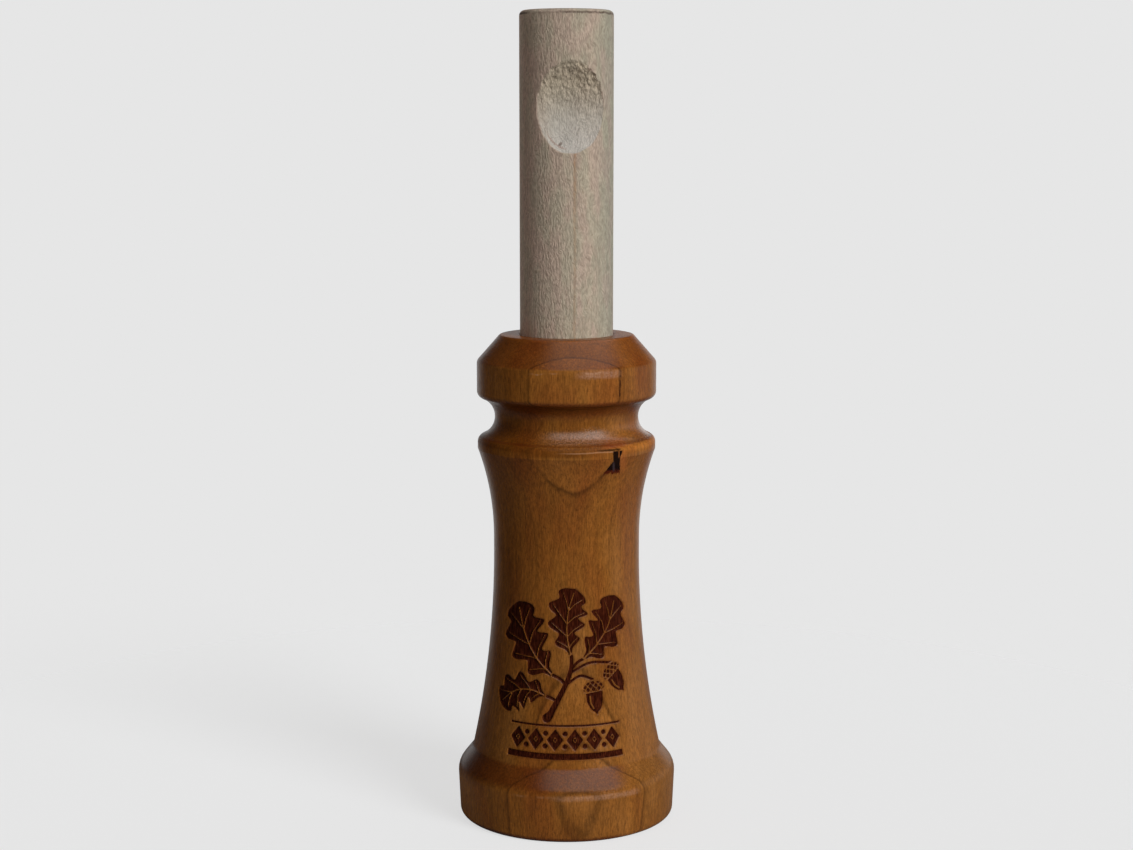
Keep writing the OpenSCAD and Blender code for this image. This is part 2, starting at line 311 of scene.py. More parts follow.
def gum_pocket(g, wood, at, x, rise, front):
    """A gum pocket under the bead, pointed to the lower left, with a dark line along the edge above it.

    rise is the height from the bead's upper edge. Returns the wood and a mask of the gum.
    """
    tear = g.noise(at.stretched(3.0, 3.0, 0.8), detail=3.0, rough=0.7) - 0.5
    rag = g.noise(at.stretched(2.2, 2.2, 0.5), detail=2.0, rough=0.7) - 0.5
    left = 7.72 - (-1.66 - rise).at_least(0.0) * 0.78 + tear * 0.5
    right = 8.9 + rise.smooth(-1.36, 0.14) * 0.42 + tear * 0.5
    bottom = rag * 1.6 + tear * 0.8 - 3.81
    under = rise.smooth(0.24, 0.04)
    pocket = (x - left).smooth(-0.10, 0.12) * (right - x).smooth(-0.10, 0.12) * (rise - bottom).smooth(-0.12, 0.25)
    sliver = (x - 8.75 + tear * 0.3).about(0.2, 0.08) * rise.smooth(-1.26, -0.76)
    seam = (rise - 0.44 + x * 0.01).about(0.24, 0.06) * x.band(3.6, 6.6, 8.6, 9.4)
    gum = (pocket * under * (1.0 - sliver * 0.75)).at_least(seam * 0.8) * front
    halo = (x - 9.2).about(1.3, 0.2) * rise.smooth(-4.56, -2.06) * under * front
    blush = x.band(5.2, 7.2, 9.0, 10.6) * rise.band(0.34, 0.84, 1.24, 2.64) * front
    wood = g.mix(halo * 0.38, wood, srgb(172, 92, 44))
    wood = g.mix(blush * 0.45, wood, srgb(136, 56, 26))
    fill = (tear + (rise + 3.36) * 0.5).ramp((0.0, srgb(74, 26, 10)), (0.16, srgb(20, 8, 7)), (0.9, srgb(28, 14, 8)))
    # Painted highlight along the gum
    shine = (x - 7.85).about(0.28, 0.05) * rise.band(-3.66, -2.96, -2.26, -1.36)
    fill = g.mix(shine * 0.7, fill, srgb(66, 52, 54))
    return g.mix(gum, wood, fill), gum


def cherry():
    made, g, shader = material("stained_cherry", Specular_IOR_Level=0.02, Coat_Weight=0.4,
                               Coat_Roughness=0.27, Coat_IOR=1.5)
    at = g.place()
    x, y, z = at.parts()
    front = y.below(0.0)
    # Heights from the foot's slope, the bead's upper edge and the collar's slope
    from_foot, from_bead, from_collar = z - slope_low_z, z - groove_low_z, z - collar_slope_z
    sway = g.noise(at.stretched(0.05, 0.05, 0.035), detail=1.0) - 0.5
    ripple = g.noise(at.stretched(0.35, 0.35, 0.10), detail=3.0, rough=0.6) - 0.5
    pith_x = -RING_BEND_R * math.sin(RING_TURN)
    pith_y = RING_BEND_R * math.cos(RING_TURN)
    across = x + (RING_LEAN_Z - z) * RING_LEAN
    from_pith = ((across - pith_x) ** 2 + (y - pith_y) ** 2) ** 0.5
    depth = from_pith - RING_BEND_R + sway * 0.7 + ripple * 0.3
    # Rings that hardly show: on the foot's middle, and to the left under the bead
    faint = from_foot.smooth(10.27, 5.27) * depth.smooth(14.6, 14.2) * 0.8
    faint = faint.at_least(from_bead.band(-5.16, -3.16, 1.34, 2.34) * x.smooth(-1.0, -3.5) * 0.6)
    rings = g.mix(faint, ring_tone(g, depth), (1.0, 1.0, 1.0))

    # Long streaks, short flecks and pores all run with the grain
    streak = g.noise(at.stretched(0.8, 0.8, 0.025), detail=3.0, rough=0.6)
    line = g.noise(at.stretched(2.4, 2.4, 0.11), detail=2.0, rough=0.6).smooth(0.34, 0.66)
    fleck = g.noise(at.stretched(4.0, 4.0, 0.8), detail=1.0, rough=0.5).smooth(0.34, 0.66)
    pore = g.noise(at.stretched(5.6, 5.6, 0.9), detail=1.0, rough=0.55).smooth(0.57, 0.70)
    blotch = g.noise(at.stretched(0.13, 0.13, 0.05), detail=2.0)
    grit = g.noise(at.stretched(3.2, 3.2, 3.2), detail=1.0).smooth(0.36, 0.64)
    russet, amber, golden = srgb(125, 70, 27), srgb(134, 82, 32), srgb(146, 94, 44)
    ground = blotch.ramp((0.30, russet), (0.5, amber), (0.72, golden))
    tone = (0.81 + streak * 0.38) * (0.91 + line * 0.18) * (0.86 + fleck * 0.28) * (0.94 + grit * 0.12)
    wood = g.times(ground, rings)
    wood = g.times(wood, g.grey(tone))
    slope = g.attribute("slope").smooth(0.15, 0.6)
    inner = depth.band(13.3, 13.9, 15.2, 15.5) * (1.0 - slope * 0.8)
    wood = g.toned(inner * (0.16 + from_bead.smooth(-3.66, 6.34) * 0.36), wood, (1.36, 1.46, 1.7))
    wood = g.mix(pore * 0.34, wood, srgb(66, 30, 10))

    flank = from_bead.band(-0.36, 0.24, 3.34, 4.84)
    arris = from_bead.band(-0.96, -0.36, 0.64, 1.04)
    foot = slope * from_foot.smooth(4.77, 2.27)
    # Painted light: the foot's right, on the lit side, is kept out of the darker stain
    lit_foot_right = from_foot.smooth(10.27, 5.27) * x.smooth(7.5, 11.0)
    for mask, by in (
        # Painted shade: a deeper, warmer colour towards the barrel's shaded left side
        (x.smooth(3.0, -12.0) * 0.8, (1.02, 0.97, 0.66)),
        # End grain on the turned slopes drinks more stain, most on the foot; the foot's right, the lit side, is kept
        # paler as painted light
        (slope * (1.0 - flank * 0.9) * (1.0 - lit_foot_right), (0.76, 0.62, 0.62)),
        (foot * (1.0 - lit_foot_right), (0.78, 0.73, 0.67)),
        # Painted shade in the groove under the collar
        (from_bead.band(1.94, 3.34, 6.84, 8.84) * 0.6, (0.74, 0.72, 0.68)),
        # Painted shade on the bead's flank at the left, and painted light on it at the right
        (flank * x.smooth(-3.0, -9.0), (0.70, 0.62, 0.50)),
        (flank * x.smooth(5.5, 9.5), (1.34, 1.34, 1.34)),
        # Painted light on the collar's slope at its right, paler at the slope's top, and painted light low at the
        # left of the foot's band
        (slope * from_collar.smooth(-0.57, 0.43) * x.smooth(7.0, 10.5), (1.22, 1.30, 1.30)),
        (slope * (z - barrel_h).smooth(-0.57, -0.17), (1.16, 1.14, 1.10)),
        (from_foot.smooth(-1.23, -2.73) * x.smooth(-11.0, -15.0), (1.4, 1.45, 1.4)),
        # The bead's lower edge, dark in the middle and pale at the right as a painted highlight, then the foot's
        # band greyer at its right and painted shade on the left of the foot's slope
        (arris * x.band(-9.0, -4.0, 1.5, 6.5), (0.68, 0.60, 0.52)),
        (arris * x.smooth(7.0, 10.0), (1.25, 1.25, 1.25)),
        (from_foot.smooth(2.67, 1.67) * x.smooth(10.5, 13.5), (0.90, 0.93, 1.0)),
        (foot * x.smooth(-9.0, -11.0), (0.80, 0.74, 0.60)),
    ):
        wood = g.toned(mask, wood, by)

    # A fine dark line painted above the bead's edge as painted shade, then painted highlights along the edges of
    # bead, collar and foot
    shade_line = (from_bead - 1.09 + ripple * 0.4).about(0.26, 0.05)
    wood = g.mix(shade_line * 0.4, wood, srgb(84, 26, 8))
    # Painted highlights, on the front only, along the bead's, collar's and foot's edges
    bead_edge_glint = (from_bead - 0.08 + ripple * 0.3).about(0.17, 0.05) * x.band(-2.5, 2.0, 7.6, 8.6)
    wave = g.noise(at.stretched(0.28, 0.28, 0.1), detail=1.0) - 0.5
    edge = (from_collar + 0.57 - x * 0.03 + wave * 1.6).about(0.22, 0.04) * depth.smooth(13.5, 13.9)
    foot_edge_glint = (from_foot + 1.63 - x * 0.02 + wave * 0.9).about(0.30, 0.04) * depth.smooth(15.6, 16.2)
    edge = edge.at_least(foot_edge_glint * 0.6) * wave.smooth(-0.10, 0.06)
    wood = g.mix((bead_edge_glint * 0.45).at_least(edge * (0.12 + line * 0.38)) * front, wood, srgb(184, 136, 100))

    # Broad painted highlights on collar and foot, a painted sheen on the bead, and a check in the collar
    broad_highlight = (from_collar + 0.87).about(0.9, 0.2) * x.band(0.8, 3.5, 7.6, 9.6)
    heel_highlight = (from_foot + 1.83).about(0.7, 0.1) * x.band(-4.0, 1.0, 11.0, 13.0)
    broad_highlight = broad_highlight.at_least(heel_highlight * 0.7) * front * (0.16 + grit * 0.2)
    wood = g.mix(broad_highlight, wood, srgb(190, 150, 130))
    # Painted sheen, stippled, on the bead's flank
    scuff_and_sheen = from_bead.band(1.04, 1.54, 2.14, 3.64) * x.band(-5.5, 0.0, 6.0, 9.5) * front
    wood = g.mix(scuff_and_sheen * (0.10 + grit * 0.28), wood, srgb(184, 134, 108))
    check = (depth - 13.55).about(0.13, 0.04) * x.smooth(4.0, 5.0) * from_collar.band(-4.97, -4.37, 0.43, 1.03)
    check = check * g.noise(at.stretched(0.9, 0.9, 1.1), detail=2.0).smooth(0.40, 0.52)
    wood = g.mix(check * front * 0.8, wood, srgb(48, 20, 8))

    wood, gum = gum_pocket(g, wood, at, x, from_bead, front)

    # Burnt engraving: char in the cuts with the grain showing through, scorch round them
    cut = g.attribute("cut")
    char = cut.smooth(0.035, -0.035)
    scorch = cut.smooth(0.42, 0.0) * 0.35
    char_grain = g.noise(at.stretched(5.0, 5.0, 0.5), detail=2.0, rough=0.6)
    char_colour = char_grain.ramp((0.34, srgb(34, 9, 4)), (0.52, srgb(56, 20, 9)), (0.72, srgb(84, 38, 20)))
    wood = g.mix(scorch, wood, srgb(96, 48, 16))
    wood = g.mix(char, wood, char_colour)

    # The lacquer is thickest where it pooled above the bead, and thin on char, gum and the bead's worn edge
    rough = 0.34 + (fleck - 0.5) * 0.10 + pore * 0.1 + char * 0.3 + gum * 0.2
    pool = from_bead.band(0.84, 1.34, 2.74, 4.34) * x.smooth(-8.0, -1.0) * front
    coat = 0.4 + pool * (0.6 + x.smooth(0.0, 5.0) * 0.4) + foot * 0.2
    for bare in (char * 0.85, gum * 0.6, from_bead.band(-0.86, -0.26, 0.84, 1.24) * 0.7):
        coat = coat * (1.0 - bare)
    g.put(shader.inputs["Coat Weight"], coat)
    height = fleck * 0.35 + (1.0 - pore) * 0.4 + g.noise(at.stretched(0.5, 0.5, 0.2), detail=1.0) * 1.2
    height = height + char * char_grain * 2.2 - gum * 3.0 + grit * (pool * 2.0 + slope * 0.3)
    finish_shader(g, shader, wood, rough, height, lift=0.035)
    return made


def maple():
    made, g, shader = material("maple_dowel", Specular_IOR_Level=0.32)
    at = g.place()
    x, y, z = at.parts()
    from_dish = z - dish_z
    streak = g.noise(at.stretched(0.9, 0.9, 0.03), detail=3.0, rough=0.6)
    bend = g.noise(at.stretched(0.5, 0.5, 0.3), detail=1.0) - 0.5
    slanted = g.add("ShaderNodeCombineXYZ", [x + z * 0.08 + bend * 1.6, y + bend * 1.6, z])
    stroke = g.noise(slanted.stretched(3.1, 3.1, 0.85), detail=1.0, rough=0.6).smooth(0.33, 0.67)
    speck = g.noise(slanted.stretched(6.0, 6.0, 1.9), detail=1.0, rough=0.6).smooth(0.35, 0.65)
    pore = g.noise(slanted.stretched(4.4, 4.4, 1.0), detail=1.0).smooth(0.58, 0.70)
    mottle = g.noise(at.stretched(0.42, 0.42, 0.14), detail=2.0, rough=0.6).smooth(0.36, 0.64)
    wood = mottle.ramp((0.0, srgb(177, 156, 139)), (0.5, srgb(175, 158, 139)), (1.0, srgb(171, 158, 138)))
    tone = (0.90 + streak * 0.20) * (0.86 + stroke * 0.28) * (0.92 + speck * 0.16)
    wood = g.times(wood, g.grey(tone))
    wood = g.mix(pore * 0.26, wood, srgb(112, 90, 66))
    # Painted light on the dowel's shaded left side, and painted shade on its right limb
    wood = g.toned(x.smooth(-1.5, -8.0), wood, (1.30, 1.23, 1.27))
    wood = g.toned(x.smooth(4.0, 8.0), wood, (0.83, 0.91, 0.93))

    # A brown mineral streak down the front, below the dish, and the bruised edge of the mouth end
    line = (x - 1.35 + (streak - 0.5) * 0.8).about(0.34, 0.08) * from_dish.smooth(-4.27, -7.27)
    line = line * y.below(0.0) * (0.6 + from_dish.smooth(-17.27, -13.77) * 0.4)
    wood = g.mix(line * (0.2 + stroke * 0.35), wood, srgb(146, 98, 50))
    bruise = (z - dowel_top_z + 0.62 + (streak - 0.5) * 0.8).about(0.3, 0.08)
    bruise = bruise * (0.05 + x.smooth(-2.0, 0.5) * 0.45 + x.smooth(-6.0, -7.2) * 0.5 + speck * 0.4)
    wood = g.mix(bruise, wood, srgb(78, 60, 50))

    # Freshly cut wood in the dish, torn and darker at its top
    dish = g.attribute("dish")
    fresh = dish.smooth(0.02, 0.25)
    torn = from_dish.smooth(-3.77, 5.23)
    tatter = g.noise(at.stretched(1.5, 1.5, 0.9), detail=3.0, rough=0.65, warp=0.6)
    rent = (tatter - 0.5).about(0.035, 0.0) * from_dish.smooth(-1.77, 1.73)
    fresh_tone = (0.88 + stroke * 0.20) * (0.93 + speck * 0.14) * (1.0 - rent * 0.4)
    fresh_wood = g.mix(x.smooth(-1.5, -5.0) * 0.7, srgb(175, 168, 158), srgb(160, 146, 130))
    fresh_wood = g.mix(from_dish.smooth(-2.77, -6.77) * x.smooth(-4.0, 0.0), fresh_wood, srgb(184, 178, 170))
    fresh_wood = g.mix(torn, fresh_wood, srgb(181, 166, 144))
    fresh_wood = g.toned(x.smooth(0.5, 3.5), fresh_wood, (1.13, 1.11, 1.10))
    fresh_wood = g.times(fresh_wood, g.grey(fresh_tone))
    wood = g.mix(fresh * 0.85, wood, fresh_wood)

    # The dish's rim: a pale lip as a painted highlight and a fold, both low on the left, painted shade along the
    # torn rim high on the right, and one chip
    lip_highlight = dish.band(0.02, 0.12, 0.40, 0.62) * x.smooth(1.5, -1.0) * from_dish.smooth(-1.77, -3.77)
    wood = g.mix(lip_highlight * (0.25 + speck * 0.2), wood, srgb(192, 183, 172))
    fold = (dish - 0.70 + (speck - 0.5) * 0.16).about(0.16, 0.05) * from_dish.smooth(-3.27, -4.27)
    wood = g.mix(fold * x.band(-3.6, -2.6, -0.5, 0.3) * 0.5, wood, srgb(136, 98, 84))
    torn_rim_shade = (dish - 0.16 + (tatter - 0.5) * 0.9).about(0.12, 0.02) * dish.smooth(0.0, 0.02)
    torn_rim_shade = torn_rim_shade * x.smooth(2.4, 4.0) * from_dish.smooth(-0.77, 1.23)
    chip_x, chip_z = x + 1.0, from_dish + 5.97
    chip = ((chip_x * 1.3 + chip_z * 0.7) ** 2 + (chip_z * 0.8 - chip_x * 0.6) ** 2 * 5.0) ** 0.5
    chipped = chip.smooth(0.75, 0.3) * fresh * 0.7
    wood = g.mix((torn_rim_shade * 0.7).at_least(chipped), wood, srgb(92, 70, 58))
    rough = 0.62 + (stroke - 0.5) * 0.1
    height = stroke * 0.9 + speck * 0.4 + streak * 0.4 + (1.0 - pore) * 0.3
    height = height + tatter * fresh * (0.8 + torn * 3.6)
    finish_shader(g, shader, wood, rough, height, lift=0.05)
    return made


def rubber():
    made, g, shader = material("seal_rubber", Specular_IOR_Level=0.4)
    at = g.place()
    bloom = g.noise(at.stretched(0.8, 0.8, 0.8), detail=3.0)
    grain = g.noise(at.stretched(9.0, 9.0, 9.0), detail=2.0)
    colour = bloom.ramp((0.3, srgb(26, 26, 28)), (0.7, srgb(44, 43, 44)))
    finish_shader(g, shader, colour, 0.52 + bloom * 0.2, grain, lift=0.02)
    return made


def toneboard_plastic():
    made, g, shader = material("toneboard_plastic", Specular_IOR_Level=0.5)
    at = g.place()
    _, y, z = at.parts()
    flow = g.noise(at.stretched(0.4, 0.4, 0.1), detail=2.0)
    pebble = g.noise(at.stretched(7.0, 7.0, 7.0), detail=1.0)
    file_marks = g.noise(at.stretched(0.6, 0.6, 12.0), detail=1.0)
    facing = (z - seat_z).smooth(7.93, 9.93) * y.smooth(2.4, 1.2)
    colour = g.mix(facing * 0.5, flow.ramp((0.3, srgb(34, 35, 38)), (0.7, srgb(47, 48, 51))), srgb(70, 71, 74))
    rough = 0.30 + flow * 0.12 + facing * 0.22
    finish_shader(g, shader, colour, rough, pebble * (1.0 - facing) + file_marks * facing * 1.4, lift=0.025)
    return made


def reed_film():
    made, g, shader = material("reed_film", Specular_IOR_Level=0.5)
    at = g.place()
    scuff_and_sheen = g.noise(at.stretched(1.2, 1.2, 0.1), detail=3.0, rough=0.7)
    frost = g.noise(at.stretched(11.0, 11.0, 11.0), detail=1.0)
    colour = scuff_and_sheen.ramp((0.3, srgb(214, 212, 202)), (0.7, srgb(232, 231, 224)))
    finish_shader(g, shader, colour, 0.34 + scuff_and_sheen * 0.25, frost + scuff_and_sheen * 0.5, lift=0.012)
    return made


def cork():
    made, g, shader = material("wedge_cork", Specular_IOR_Level=0.25)
    at = g.place()
    grain = g.add("ShaderNodeTexVoronoi", {"Vector": at, "Scale": 0.9}, output="Color")
    walls = g.add("ShaderNodeTexVoronoi", {"Vector": at, "Scale": 0.9}, feature="DISTANCE_TO_EDGE",
                  output="Distance")
    shade = g.add("ShaderNodeSeparateColor", [grain], output="Red")
    speck = g.noise(at.stretched(2.4, 2.4, 2.4), detail=4.0, rough=0.7)
    colour = shade.ramp((0.0, srgb(150, 108, 68)), (0.6, srgb(186, 144, 98)), (1.0, srgb(203, 164, 118)))
    colour = g.mix(walls.smooth(0.09, 0.0) * 0.5, colour, srgb(98, 62, 36))
    colour = g.mix(speck.smooth(0.62, 0.72), colour, srgb(70, 42, 24))
    pits = walls.smooth(0.0, 0.12) - speck.smooth(0.6, 0.7) * 0.8
    finish_shader(g, shader, colour, 0.8 + speck * 0.12, pits, lift=0.08)
    return made


# The turned outlines, with their rounds

def rounded(a, b, c, radius, step):
    """Points of the round that takes corner b, between a and c."""
    a, b, c = (np.array(p[:2]) for p in (a, b, c))
    to_a = (a - b) / np.linalg.norm(a - b)
    to_c = (c - b) / np.linalg.norm(c - b)
    half = math.acos(float(to_a @ to_c)) / 2
    middle = b + (to_a + to_c) / np.linalg.norm(to_a + to_c) * radius / math.sin(half)
    start = b + to_a * radius / math.tan(half) - middle
    turn = math.pi - 2 * half
    side = 1 if (b - a)[0] * (c - b)[1] - (b - a)[1] * (c - b)[0] > 0 else -1
    count = max(4, math.ceil(turn / math.radians(12)), math.ceil(turn * radius / step))
    angles = side * turn * np.linspace(0, 1, count + 1)
    return np.stack([middle[0] + start[0] * np.cos(angles) - start[1] * np.sin(angles),
                     middle[1] + start[0] * np.sin(angles) + start[1] * np.cos(angles)], 1)


# Step round a curve, longest undivided run, and the softening of the bead's sharp lower edge
OUTLINE_STEP, LONG_RUN, BEAD_SOFT = 0.9, 2.25, 0.12


def outline(corners):
    """A closed outline from corners of (radius from the axis, height, round), with long runs divided."""
    points = []
    for i, corner in enumerate(corners):
        if corner[2] > 0:
            following = corners[(i + 1) % len(corners)]
            points.extend(rounded(corners[i - 1], corner, following, corner[2], OUTLINE_STEP))
        else:
            points.append(np.array(corner[:2]))
    kept = []
    for i, point in enumerate(points):
        following = points[(i + 1) % len(points)]
        gap = np.linalg.norm(following - point)
        if gap < 1e-3:
            continue
        count = max(1, math.ceil(gap / LONG_RUN))
        for share in np.arange(count) / count:
            kept.append(point * (1 - share) + following * share)
    return np.array(kept)


def arc(middle, radius, start, end, count):
    """Corners along an arc, from the angle start to the angle end."""
    return [(middle[0] + radius * cos_d(a), middle[1] + radius * sin_d(a), 0)
            for a in np.linspace(start, end, count)]


def barrel_corners():
    run = FOOT_HOLLOW_R * tan_d((FOOT_SLOPE_A - body_a) / 2)
    groove = [
        *arc((BEAD_R - GROOVE_EDGE_R, groove_low_z), GROOVE_EDGE_R, 0, low_a, 9),
        *arc((groove_mid_r, groove_mid_z), GROOVE_ROUND_R, 180 + low_a, 180 - high_a, 33),
        *arc((COLLAR_R - GROOVE_EDGE_R, collar_z), GROOVE_EDGE_R, -high_a, 0, 9),
    ]
    outside = [
        (FOOT_EDGE_R, 0, FOOT_EDGE_ROUND),
        (FOOT_BAND_R, FOOT_BAND_H + FOOT_ROUND_R * tan_d(FOOT_SLOPE_A / 2), FOOT_ROUND_R),
        (slope_high_r - run * sin_d(FOOT_SLOPE_A), slope_high_z + run * cos_d(FOOT_SLOPE_A), FOOT_HOLLOW_R),
        (WAIST_R, waist_z - body_r * tan_d(body_a / 2), body_r),
        (WAIST_R, neck_z + neck_r * tan_d(neck_a / 2), neck_r),
        (BEAD_R, bead_z, BEAD_SOFT),
    ]
    top = [
        (COLLAR_R, collar_slope_z, COLLAR_ROUND),
        (TOP_FLAT_R, barrel_h, EDGE_ROUND),
    ]
    inside = [
        (socket_r + SOCKET_LEAD, barrel_h, 0),
        (socket_r, barrel_h - SOCKET_LEAD, 0),
        (socket_r, seat_z, 0),
        (THROAT_R, seat_z, 0),
        (THROAT_R, CHAMBER_TOP_Z + (CHAMBER_R - THROAT_R) / tan_d(DRILL_A), 0),
        (CHAMBER_R, CHAMBER_TOP_Z, 0),
        (CHAMBER_R, FLARE_Z - flare_r * tan_d(flare_a / 2), flare_r),
        (BELL_R + BELL_LIP_H * tan_d(flare_a), 0, BELL_LIP_ROUND),
    ]
    return outside + groove + top + inside


# Turned meshes: rings of points round the axis, with more points where a face carries detail

def new_piece(name, points, faces):
    """A piece from its points in millimetres and its faces."""
    mesh = bpy.data.meshes.new(name)
    mesh.from_pydata([tuple(c * MM for c in p) for p in points], [], faces)
    mesh.update()
    piece = bpy.data.objects.new(name, mesh)
    bpy.context.scene.collection.objects.link(piece)
    return piece


def with_fine_rows(rows, zone, fine):
    """Rows of an outline, with those in a zone replaced by fine ones."""
    first = int(np.argmax(zone))
    return np.vstack([rows[:first], fine, rows[first:][~zone[first:]]])


def even_ring(count):
    return np.arange(count) * 2 * math.pi / count


def front_ring(half_angle, fine_step, coarse_step):
    """Angles from the back round to the back, fine within half_angle of the front."""
    fine = np.arange(-half_angle, half_angle + fine_step / 2, fine_step)
    rest = 360 - (fine[-1] - fine[0])
    count = round(rest / coarse_step)
    coarse = fine[-1] + rest * np.arange(1, count) / count
    angles = np.radians(np.concatenate([fine, coarse]) + 180)
    return np.sort(np.mod(angles, 2 * math.pi))


def turned(name, rows, rings):
    """A closed mesh from outline rows (radius, height), each with its ring of angles.

    Angle 0 looks to the back, +Y, and angles grow towards -X, so pi is the front.
    """
    starts, points = [], []
    for (radius, height), ring in zip(rows, rings):
        starts.append(len(points))
        for angle in ring:
            points.append((-radius * math.sin(angle), radius * math.cos(angle), height))
    faces = []
    for row in range(len(rows)):
        other = (row + 1) % len(rows)
        a, b = rings[row], rings[other]
        sa, sb = starts[row], starts[other]
        if a is b:
            count = len(a)
            for i in range(count):
                j = (i + 1) % count
                faces.append((sa + i, sa + j, sb + j, sb + i))
            continue
        i = j = 0
        while i < len(a) or j < len(b):
            next_a = a[i + 1] if i + 1 < len(a) else (2 * math.pi + a[0] if i < len(a) else math.inf)
            next_b = b[j + 1] if j + 1 < len(b) else (2 * math.pi + b[0] if j < len(b) else math.inf)
            ia, jb = i % len(a), j % len(b)
            if next_a <= next_b:
                faces.append((sa + ia, sa + (i + 1) % len(a), sb + jb))
                i += 1
            else:
                faces.append((sa + ia, sb + (j + 1) % len(b), sb + jb))
                j += 1
    return new_piece(name, points, faces), np.array(points)


def outward(piece):
    """Turns the faces of a closed piece to point outwards."""
    work = bmesh.new()
    work.from_mesh(piece.data)
    bmesh.ops.recalc_face_normals(work, faces=work.faces)
    if work.calc_volume(signed=True) < 0:
        bmesh.ops.reverse_faces(work, faces=work.faces)
    work.to_mesh(piece.data)
    work.free()


def smooth_shaded(piece, angle=35):
    """Smooth shading, with edges sharper than an angle in degrees kept sharp."""
    piece.data.shade_smooth()
    piece.data.set_sharp_from_angle(angle=math.radians(angle))


def point_values(piece, name, values):
    made = piece.data.attributes.new(name, "FLOAT", "POINT")
    made.data.foreach_set("value", np.asarray(values, dtype=np.float32))


def move_points(piece, points):
    piece.data.vertices.foreach_set("co", (points * MM).astype(np.float32).ravel())
    piece.data.update()


# The engraving: an oak sprig with acorns over a band of lozenges, as signed distances in mm

# Width of the line left standing where one shape lies over another
ENGRAVED_GAP = 0.24


def polygon_distance(u, v, points):
    """Distance to a closed outline, negative inside it."""
    best = np.full(u.shape, 1e9)
    inside = np.zeros(u.shape, dtype=bool)
    for (ax, ay), (bx, by) in zip(points, np.roll(points, -1, axis=0)):
        ex, ey = bx - ax, by - ay
        wx, wy = u - ax, v - ay
        t = np.clip((wx * ex + wy * ey) / max(1e-9, ex * ex + ey * ey), 0, 1)
        best = np.minimum(best, (wx - ex * t) ** 2 + (wy - ey * t) ** 2)
        crosses = (ay > v) != (by > v)
        if by != ay:
            inside ^= crosses & (u < (bx - ax) * (v - ay) / (by - ay) + ax)
    return np.where(inside, -1, 1) * np.sqrt(best)


def stroke_distance(u, v, points, widths):
    """Distance to a stroke through points, whose half width changes along it."""
    best = np.full(u.shape, 1e9)
    for i in range(len(points) - 1):
        (ax, ay), (bx, by) = points[i], points[i + 1]
        ex, ey = bx - ax, by - ay
        t = np.clip(((u - ax) * ex + (v - ay) * ey) / max(1e-9, ex * ex + ey * ey), 0, 1)
        width = widths[i] * (1 - t) + widths[i + 1] * t
        best = np.minimum(best, np.hypot(u - ax - ex * t, v - ay - ey * t) - width)
    return best


def curve(points, count=24):
    """A smooth run through control points."""
    points = np.array(points, dtype=float)
    padded = np.vstack([2 * points[0] - points[1], points, 2 * points[-1] - points[-2]])
    out = []
    for i in range(1, len(padded) - 2):
        p0, p1, p2, p3 = padded[i - 1:i + 3]
        for t in np.linspace(0, 1, count, endpoint=False):
            out.append(0.5 * (2 * p1 + (p2 - p0) * t + (2 * p0 - 5 * p1 + 4 * p2 - p3) * t ** 2
                              + (3 * p1 - p0 - 3 * p2 + p3) * t ** 3))
    out.append(points[-1])
    return np.array(out)


# Half width of an oak leaf along its midrib, as shares of its length: four lobes and their hollows
LEAF_SHARES = ((0.0, 0.02), (0.09, 0.06), (0.16, 0.17), (0.22, 0.205), (0.275, 0.15), (0.33, 0.135),
               (0.40, 0.265), (0.46, 0.31), (0.525, 0.225), (0.57, 0.19), (0.63, 0.305), (0.69, 0.335),
               (0.75, 0.235), (0.795, 0.20), (0.86, 0.245), (0.92, 0.215), (0.97, 0.12), (1.0, 0.0))
# Where the side veins leave the midrib, and where they end in a lobe
VEIN_SHARES = ((0.10, 0.23, 0.165), (0.27, 0.46, 0.25), (0.46, 0.69, 0.27), (0.66, 0.89, 0.17))


def oak_leaf(u, v, rib):
    """An oak leaf about its midrib, with the midrib and side veins left standing."""
    rib = curve(rib, 16)
    steps = np.hypot(*np.diff(rib, axis=0).T)
    along = np.concatenate([[0], np.cumsum(steps)])
    length = along[-1]

    def spot(share, side):
        at, ahead, behind = (np.array([np.interp(share * length + shift, along, rib[:, i]) for i in (0, 1)])
                             for shift in (0, 0.05, -0.05))
        way = (ahead - behind) / max(1e-6, np.linalg.norm(ahead - behind))
        return at + np.array([-way[1], way[0]]) * side * length

    left = curve([spot(s, w) for s, w in LEAF_SHARES], 6)
    right = curve([spot(s, -w * 0.94) for s, w in LEAF_SHARES], 6)
    leaf = polygon_distance(u, v, np.vstack([left, right[::-1][1:-1]]))
    taper = np.linspace(0.15, 0.08, len(rib))
    veins = stroke_distance(u, v, rib[:int(len(rib) * 0.94)], taper)
    for start, end, side in VEIN_SHARES:
        for sign in (-1, 1):
            veins = np.minimum(veins, stroke_distance(
                u, v, [spot(start, 0), spot((start + end) / 2, sign * side * 0.42), spot(end, sign * side)],
                [0.09, 0.08, 0.06]))
    return np.maximum(leaf, -veins), leaf


